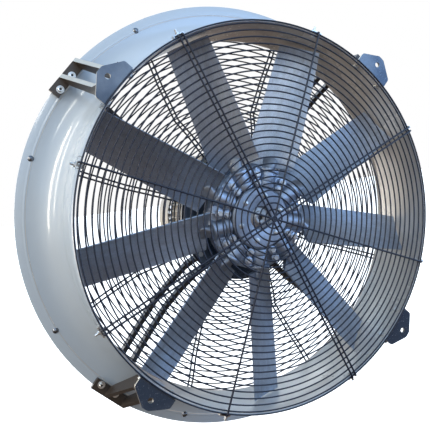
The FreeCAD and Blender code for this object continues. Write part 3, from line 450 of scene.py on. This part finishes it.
def finished(bm, name, body, slot, replaced=(), materials=None, sharpAngle=meshing["sharp"]):
    # turns a bmesh into a smooth-shaded piece that rides on its body
    mesh = bpy.data.meshes.new(name)
    bm.to_mesh(mesh)
    bm.free()
    mesh.polygons.foreach_set("use_smooth", [True] * len(mesh.polygons))
    mesh.set_sharp_from_angle(angle=math.radians(sharpAngle))
    for material in materials or [finishes[slot]]:
        mesh.materials.append(material)
    piece = bpy.data.objects.new(name, mesh)
    bpy.context.collection.objects.link(piece)
    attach(piece, body)
    if replaced:
        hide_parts(*replaced)
    return piece


def spunProfile(bm, points, steps):
    # a closed (radius, y) outline in millimetres turned fully about the fan axis
    verts = [bm.verts.new((r * mm, y * mm, 0)) for r, y in points]
    ends = verts[1:] + verts[:1]
    edges = [bm.edges.new(pair) for pair in zip(verts, ends)]
    spunFully(bm, verts + edges, steps)
    bmesh.ops.remove_doubles(bm, verts=bm.verts, dist=meshing["weld"])
    bmesh.ops.recalc_face_normals(bm, faces=bm.faces)


def spunFully(bm, geom, steps):
    bmesh.ops.spin(bm, geom=geom, cent=(0, 0, 0), axis=(0, 1, 0), angle=math.tau, steps=steps, use_merge=True)


def bevelSharp(bm, width, segments, angle):
    edges = [e for e in bm.edges if len(e.link_faces) == 2 and e.calc_face_angle(0) > math.radians(angle)]
    bmesh.ops.bevel(bm, geom=edges, offset=width, offset_type="OFFSET", affect="EDGES", segments=segments,
                    profile=0.5, material=-1, clamp_overlap=True)


def turnedTo(degrees):
    # from +X towards +Z about the fan axis
    return Matrix.Rotation(-math.radians(degrees), 4, "Y")


def outwardShare(face):
    # 1 for a face that looks straight away from the fan axis, -1 for one that looks at it
    middle = face.calc_center_median()
    return face.normal.dot(Vector((middle.x, 0, middle.z)).normalized())


# ---------- casing
casing = {
    "bore": 505.0, "sheet": 3.0, "throat": 178.0, "bell": 74.0, "flangeOut": 622.0,
    "bead": 598.0, "beadHalf": 5.5, "beadRise": 1.3, "beadSteps": 3, "bellSteps": 14, "steps": 256,
    "edge": 0.0008, "edgeAngle": 60, "sharpAngle": 40, "inwardShare": 0.25,
}


def makeCasing():
    c = casing
    centre = c["bore"] + c["bell"]
    outer = c["bore"] + c["sheet"]
    back = c["throat"] + c["bell"]
    front = back - c["sheet"]
    points = [(c["bore"], 0), (c["bore"], c["throat"] / 2)]

    def bellArc(radius, turn):
        for k in range(c["bellSteps"] + 1):
            a = turn[0] + (turn[1] - turn[0]) * k / c["bellSteps"]
            points.append((centre - radius * math.cos(a), c["throat"] + radius * math.sin(a)))

    bellArc(c["bell"], (0, math.pi / 2))
    points += [(c["flangeOut"], back), (c["flangeOut"], front)]
    for k in range(-c["beadSteps"], c["beadSteps"] + 1):
        share = k / c["beadSteps"]
        rise = c["beadRise"] * (1 + math.cos(math.pi * share)) / 2
        points.append((c["bead"] - c["beadHalf"] * share, front - rise))
    bellArc(c["bell"] - c["sheet"], (math.pi / 2, 0))
    points += [(outer, c["throat"] / 2), (outer, 0)]
    bm = bmesh.new()
    spunProfile(bm, points, c["steps"])
    bevelSharp(bm, c["edge"], 2, c["edgeAngle"])
    for face in bm.faces:
        face.material_index = 1 if outwardShare(face) < -c["inwardShare"] else 0
    finished(bm, "casingShell", "fan_body", "casing_paint", ["fan_casing"],
             [finishes["casing_paint"], innerWall], c["sharpAngle"])


makeCasing()
print("casing ready")


# ---------- guard rings
guard = {
    "wire": 2.0, "frontRim": 508.5, "rimStep": 8.0, "pitch": 17.0, "inner": 22.0, "frontY": -2.05,
    "steps": 168, "sides": 8, "sharpAngle": 80,
}


def wireCircles(bm, places):
    # one wire section for each (radius, y) place in millimetres
    geom = []
    for radius, y in places:
        made = bmesh.ops.create_circle(bm, cap_ends=False, segments=guard["sides"], radius=guard["wire"] * mm)
        bmesh.ops.translate(bm, verts=made["verts"], vec=(radius * mm, y * mm, 0))
        geom += made["verts"] + list({e for v in made["verts"] for e in v.link_edges})
    return geom


def makeFrontRings():
    radius = guard["frontRim"]
    places = [(radius, guard["frontY"])]
    radius -= guard["rimStep"]
    while radius > guard["inner"]:
        places.append((radius, guard["frontY"]))
        radius -= guard["pitch"]
    bm = bmesh.new()
    spunFully(bm, wireCircles(bm, places), guard["steps"])
    bmesh.ops.recalc_face_normals(bm, faces=bm.faces)
    finished(bm, "frontGuardRings", "fan_body", "guard_coating", ["front_guard_rings"],
             sharpAngle=guard["sharpAngle"])


makeFrontRings()
print("guards ready")


# ---------- blades
bladeSet = {
    "count": 9, "start": 26.5, "plane": 98.6, "root": 148.0, "tip": 500.0,
    "chordRoot": 141.0, "chordTip": 115.0, "pitchRoot": 41.0, "pitchTip": 28.9,
    "camber": 0.07, "thickRoot": 10.0, "thickTip": 5.5,
    "edgeShare": 0.25, "alongCuts": 20, "acrossCuts": 15, "edge": 0.0012, "edgeAngle": 50,
    "shank": 17.0, "shankSides": 40, "shankFrom": 118.0, "shankBack": 3.0, "shankUntwist": 2.0,
    # reach in millimetres, then the width and thickness as shares of the round shank
    "shankForm": ((140, 1.0, 1.0), (147, 1.06, 0.9), (154, 1.14, 0.72), (161, 1.2, 0.54), (167, 1.16, 0.4),
                  (172, 0.96, 0.3), (175, 0.6, 0.24)),
}


def bladeTurn(k):
    return turnedTo(bladeSet["start"] + 360 / bladeSet["count"] * k)


def bladePoint(along, across, side):
    # along from root to tip, across from one edge to the other, side -1 or 1 for the two faces
    b = bladeSet
    chord = b["chordRoot"] + along * (b["chordTip"] - b["chordRoot"])
    pitch = math.radians(b["pitchRoot"] + along * (b["pitchTip"] - b["pitchRoot"]))
    thick = b["thickRoot"] + along * (b["thickTip"] - b["thickRoot"])
    bow = 1 - (2 * across - 1) ** 2
    s = (across - 0.5) * chord
    fullness = b["edgeShare"] + (1 - b["edgeShare"]) * math.sqrt(max(bow, 0.0))
    n = b["camber"] * chord * bow + side * thick / 2 * fullness
    t = s * math.cos(pitch) - n * math.sin(pitch)
    y = b["plane"] + s * math.sin(pitch) + n * math.cos(pitch)
    r = b["root"] + along * (b["tip"] - b["root"])
    return Vector((math.sqrt(max(r * r - t * t * along, 1.0)), y, t)) * mm


def makeBladeMesh():
    # a flat slab is divided, then bowed, thinned and twisted into the blade
    b = bladeSet
    bm = bmesh.new()
    bmesh.ops.create_cube(bm, size=1.0)
    bmesh.ops.translate(bm, verts=bm.verts, vec=(0.5, 0.5, 0))
    alongEdges = [e for e in bm.edges if abs(e.verts[0].co.x - e.verts[1].co.x) > 0.5]
    bmesh.ops.subdivide_edges(bm, edges=alongEdges, cuts=b["alongCuts"], use_grid_fill=True)
    acrossEdges = [e for e in bm.edges if abs(e.verts[0].co.y - e.verts[1].co.y) > 0.5]
    bmesh.ops.subdivide_edges(bm, edges=acrossEdges, cuts=b["acrossCuts"], use_grid_fill=True)
    uv = bm.loops.layers.uv.new(bladeMap)
    for face in bm.faces:
        for loop in face.loops:
            loop[uv].uv = (loop.vert.co.x, loop.vert.co.y)
    for vert in bm.verts:
        vert.co = bladePoint(vert.co.x, vert.co.y, 2 * vert.co.z)
    bevelSharp(bm, b["edge"], 2, b["edgeAngle"])
    addShank(bm)
    return bm


def addShank(bm):
    # a round shank that flattens and widens into the foot of the blade
    b = bladeSet
    section = bmesh.ops.create_circle(bm, cap_ends=True, segments=b["shankSides"],
                                      radius=b["shank"] * mm)["verts"]
    bmesh.ops.rotate(bm, verts=section, cent=(0, 0, 0), matrix=Matrix.Rotation(math.pi / 2, 3, "Y"))
    bmesh.ops.translate(bm, verts=section, vec=(b["shankFrom"] * mm, 0, 0))
    turn = Matrix.Rotation(-math.radians(b["pitchRoot"] - b["shankUntwist"]), 3, "X")
    tube = list(section)
    edges = list({e for v in section for e in v.link_edges if e.other_vert(v) in section})
    at, wide, thin = b["shankFrom"], 1.0, 1.0
    for reach, widen, flatten in b["shankForm"]:
        grown = bmesh.ops.extrude_edge_only(bm, edges=edges)["geom"]
        verts = [g for g in grown if isinstance(g, bmesh.types.BMVert)]
        edges = [g for g in grown if isinstance(g, bmesh.types.BMEdge) and all(v in verts for v in g.verts)]
        bmesh.ops.scale(bm, verts=verts, vec=(1, flatten / thin, widen / wide))
        bmesh.ops.translate(bm, verts=verts, vec=((reach - at) * mm, 0, 0))
        at, wide, thin = reach, widen, flatten
        tube += verts
    bmesh.ops.holes_fill(bm, edges=edges, sides=0)
    bmesh.ops.rotate(bm, verts=tube, cent=(0, 0, 0), matrix=turn)
    bmesh.ops.translate(bm, verts=tube, vec=(0, (b["plane"] + b["shankBack"]) * mm, 0))
    shankFaces = list({f for v in tube for f in v.link_faces})
    bmesh.ops.recalc_face_normals(bm, faces=shankFaces)
    for face in shankFaces:
        face.material_index = 1


def makeBlades():
    for k in range(bladeSet["count"]):
        bm = makeBladeMesh()
        bmesh.ops.transform(bm, matrix=bladeTurn(k), verts=bm.verts)
        finished(bm, f"bladeAerofoil{k + 1}", "rotor", "blade_aluminium", [f"blade_{k + 1}"],
                 [finishes["blade_aluminium"], shankMetal])


makeBlades()
print("blades ready")


# ---------- hub
hub = {
    "hole": 30.0, "face": 84.0, "front": 66.6, "step": 90.0, "out": 140.0, "plane": 98.6, "steps": 96,
    "edge": 0.0018, "edgeAngle": 30, "sharpAngle": 40,
    # each step of a saddle round a shank: from, to and radius
    "saddles": ((86.0, 103.0, 29.0), (103.0, 130.5, 25.5), (130.5, 139.5, 30.0)),
    "saddleSides": 40, "saddleEdge": 0.0022,
    "ribHalf": 3.0, "ribTop": 79.0, "ribInset": 2.0, "ribEdge": 0.0012,
    "boltCircles": (120.0, 97.0), "padR": 11.5, "padTop": 74.8, "padSides": 24, "padEdge": 0.0015,
    # how far ribs and pads reach into the casting
    "sunk": 4.0,
    "discScrews": 6, "discScrewR": 62.0, "discScrewStart": 12.0, "discScrewEdge": 0.0005,
    # head and washer of a disc screw: radius, height, sides and middle in front of the disc
    "discScrew": ((5.6, 4.0, 6, 1.6), (7.2, 1.4, 24, 0.4)), "partAngle": 50,
}


def addRod(bm, radius, length, segments, place, axis):
    # a solid rod along X or Y
    made = bmesh.ops.create_cone(bm, cap_ends=True, segments=segments, radius1=radius * mm,
                                 radius2=radius * mm, depth=length * mm)["verts"]
    turnAxis = {"X": "Y", "Y": "X"}[axis]
    bmesh.ops.rotate(bm, verts=made, cent=(0, 0, 0), matrix=Matrix.Rotation(math.pi / 2, 3, turnAxis))
    bmesh.ops.translate(bm, verts=made, vec=place)


def addPart(bm, part):
    # copies a small bmesh into a bigger one
    mesh = bpy.data.meshes.new("part")
    part.to_mesh(mesh)
    part.free()
    bm.from_mesh(mesh)
    bpy.data.meshes.remove(mesh)


def addTurned(bm, part, edge, turn):
    # rounds a small bmesh's edges, turns it about the fan axis and copies it in
    bevelSharp(part, *edge)
    bmesh.ops.transform(part, matrix=turn, verts=part.verts)
    addPart(bm, part)


def hubSaddle(first, last, radius):
    h = hub
    saddle = bmesh.new()
    addRod(saddle, radius, last - first, h["saddleSides"], ((first + last) / 2 * mm, h["plane"] * mm, 0), "X")
    bmesh.ops.bisect_plane(saddle, geom=saddle.verts[:] + saddle.edges[:] + saddle.faces[:],
                           plane_co=(0, h["plane"] * mm, 0), plane_no=(0, 1, 0), clear_outer=True)
    bmesh.ops.holes_fill(saddle, edges=saddle.edges[:], sides=0)
    return saddle


def hubRib():
    h = hub
    reach = h["out"] - h["ribInset"] - h["face"]
    rise = h["step"] + h["sunk"] - h["ribTop"]
    middle = ((h["face"] + reach / 2) * mm, (h["ribTop"] + rise / 2) * mm, 0)
    rib = bmesh.new()
    bmesh.ops.create_cube(rib, size=1.0)
    bmesh.ops.scale(rib, verts=rib.verts, vec=(reach * mm, rise * mm, 2 * h["ribHalf"] * mm))
    bmesh.ops.translate(rib, verts=rib.verts, vec=middle)
    return rib


def hubPad(radius):
    h = hub
    depth = h["step"] + h["sunk"] - h["padTop"]
    pad = bmesh.new()
    addRod(pad, h["padR"], depth, h["padSides"], (radius * mm, (h["padTop"] + depth / 2) * mm, 0), "Y")
    return pad


def hubDiscScrew():
    h = hub
    screw = bmesh.new()
    for radius, height, sides, ahead in h["discScrew"]:
        addRod(screw, radius, height, sides, (h["discScrewR"] * mm, (h["front"] - ahead) * mm, 0), "Y")
    return screw


def makeHubFront():
    h = hub
    front = h["front"]
    outline = [(h["hole"], front + 6), (h["hole"] + 3, front + 2), (h["face"] - 5, front),
               (h["face"], front + 4), (h["face"] + 2, h["step"]), (h["out"] - 5, h["step"] + 2),
               (h["out"], h["step"] + 7), (h["out"], h["plane"]), (h["hole"], h["plane"])]
    bm = bmesh.new()
    spunProfile(bm, outline, h["steps"])
    bevelSharp(bm, h["edge"], 3, h["edgeAngle"])
    angle = h["partAngle"]
    for k in range(bladeSet["count"]):
        for saddle in h["saddles"]:
            addTurned(bm, hubSaddle(*saddle), (h["saddleEdge"], 3, angle), bladeTurn(k))
        addTurned(bm, hubRib(), (h["ribEdge"], 2, angle), bladeTurn(k + 0.5))
        for radius in h["boltCircles"]:
            addTurned(bm, hubPad(radius), (h["padEdge"], 2, angle), bladeTurn(k + 0.5))
    castFaces = len(bm.faces)
    for k in range(h["discScrews"]):
        turn = turnedTo(360 / h["discScrews"] * k + h["discScrewStart"])
        addTurned(bm, hubDiscScrew(), (h["discScrewEdge"], 2, angle), turn)
    bm.faces.ensure_lookup_table()
    for face in bm.faces[castFaces:]:
        face.material_index = 1
    finished(bm, "hubFrontCasting", "rotor", "hub_casting", ["hub_front_half"],
             [finishes["hub_casting"], finishes["zinc_steel"]], h["sharpAngle"])


hubCap = {
    "outline": ((6, 80), (6, 73), (9, 71.5), (17, 71.5), (19.5, 73), (20, 76), (29.7, 76.5), (29.7, 80)),
    "steps": 64, "edge": 0.0006, "edgeAngle": 40,
}


def makeHubCap():
    # shallow cap in the hub's centre with a raised ring and a tapped hole
    bm = bmesh.new()
    spunProfile(bm, hubCap["outline"], hubCap["steps"])
    bevelSharp(bm, hubCap["edge"], 2, hubCap["edgeAngle"])
    finished(bm, "hubCentreCap", "rotor", "bare_steel")


makeHubFront()
makeHubCap()
print("hub ready")


# ---------- foot bolts
footBolt = {
    "lugs": (45.0, 135.0, 225.0, 315.0), "along": (40.0, -9.0), "out": 607.0, "seat": 235.0, "headR": 7.4,
    "height": 6.0, "tail": 262.0, "shankR": 5.0, "shankSides": 24, "edge": 0.0003, "edgeAngle": 40,
    # thickness and depth of each inset in the head, in metres, from its edge to its centre
    "insets": ((0.0012, 0.0008), (0.0024, 0), (0.0004, -0.0022)), "sharpAngle": 30,
}


def makeFootBolts():
    # hexagon heads with a chamfered crown and a dished centre, whose black finish is painted shade in the
    # recess
    f = footBolt
    bm = bmesh.new()
    for lug in f["lugs"]:
        side = 1 if math.sin(math.radians(2 * lug)) < 0 else -1
        for along in f["along"]:
            bolt = bmesh.new()
            addRod(bolt, f["headR"], f["height"], 6, (0, (f["seat"] - f["height"] / 2) * mm, 0), "Y")
            crown = min(bolt.faces, key=lambda face: face.calc_center_median().y)
            for thickness, depth in f["insets"]:
                bmesh.ops.inset_region(bolt, faces=[crown], thickness=thickness, depth=depth)
            # the recessed crown takes the black finish: painted shade of the socket
            crown.material_index = 1
            bevelSharp(bolt, f["edge"], 2, f["edgeAngle"])
            length = f["tail"] - f["seat"]
            addRod(bolt, f["shankR"], length, f["shankSides"], (0, (f["seat"] + length / 2) * mm, 0), "Y")
            bmesh.ops.translate(bolt, verts=bolt.verts, vec=(f["out"] * mm, 0, side * along * mm))
            bmesh.ops.transform(bolt, matrix=turnedTo(lug), verts=bolt.verts)
            addPart(bm, bolt)
    finished(bm, "footBoltHeads", "fan_body", "zinc_steel", ["foot_bolts"],
             [finishes["zinc_steel"], finishes["black_plastic"]], f["sharpAngle"])


makeFootBolts()
print("foot bolts ready")


# ---------- CAD parts that get softened edges
# width of the rounding in millimetres
softened = {
    "lug_upper_right": 1.2, "lug_upper_left": 1.2, "lug_lower_left": 1.2, "lug_lower_right": 1.2,
    "bracket_arms": 0.8, "motor_support_arms": 0.8, "foot_washers": 0.3, "foot_nuts": 0.4,
    "flange_nuts": 0.4, "lug_screws": 0.4, "lug_nuts": 0.4, "front_guard_clips": 0.3,
    "front_guard_screws": 0.4,
    "front_guard_nuts": 0.3, "tab_screws": 0.4, "tab_nuts": 0.4, "motor_bolts": 0.5, "motor_nuts": 0.5,
    "motor_plate": 1.0, "drive_end_shield": 1.2, "rear_end_shield": 1.2, "motor_frame": 0.8, "fan_cowl": 0.8,
    "terminal_box": 1.5, "terminal_lid": 1.5, "cable_gland": 0.6, "hub_rear_half": 1.5, "hub_bolts": 0.5,
    "end_bolt": 0.6, "cowl_screws": 0.3,
}


def camel(name):
    first, *rest = name.split("_")
    return first + "".join(word.capitalize() for word in rest)


# upward and outward pick the arm faces that get a painted sky reflection; the rim limits pick a lug's bare
# cut rim
bare = {"upward": 0.3, "outward": 0.75, "rimSideways": 0.5, "rimDepth": 0.0062, "lugs": ("upper", "lower")}


# upward-facing outer arm faces, which get the light colour as a painted sky reflection
def paintedSkyLitTop(face):
    return face.normal.z > bare["upward"] and outwardShare(face) > bare["outward"]


def plateRim(face):
    return abs(face.normal.y) < bare["rimSideways"] and face.calc_center_median().y < bare["rimDepth"]


def lighterFaceTest(node):
    # lighter faces: a lug's bare rim, and the upward outer faces of the upper arms, where the light colour is
    # a painted sky reflection
    if node == "bracket_arms":
        return paintedSkyLitTop
    return plateRim if node.split("_")[0] == "lug" and node.split("_")[1] in bare["lugs"] else None


def softCopy(node, width):
    # the loose triangles are merged into clean faces and the sharp edges rounded
    bm = bmesh.new()
    bm.from_mesh(nodes[node].data)
    bmesh.ops.remove_doubles(bm, verts=bm.verts, dist=meshing["weldTriangles"])
    bmesh.ops.dissolve_limit(bm, angle_limit=math.radians(meshing["flatAngle"]), verts=bm.verts,
                             edges=bm.edges)
    materials = [finishOf(node)]
    isLighterFace = lighterFaceTest(node)
    if isLighterFace:
        materials.append(cutEdge)
        for face in bm.faces:
            face.material_index = 1 if isLighterFace(face) else 0
    piece = finished(bm, camel(node) + "Rounded", bodyOf[node], slotOf[node], [node], materials)
    bevel = piece.modifiers.new("edges", "BEVEL")
    bevel.width = width * mm
    bevel.segments = 2
    bevel.limit_method = "ANGLE"
    bevel.angle_limit = math.radians(meshing["softAngle"])
    bevel.harden_normals = True


for node, width in softened.items():
    softCopy(node, width)
print("softened parts ready")
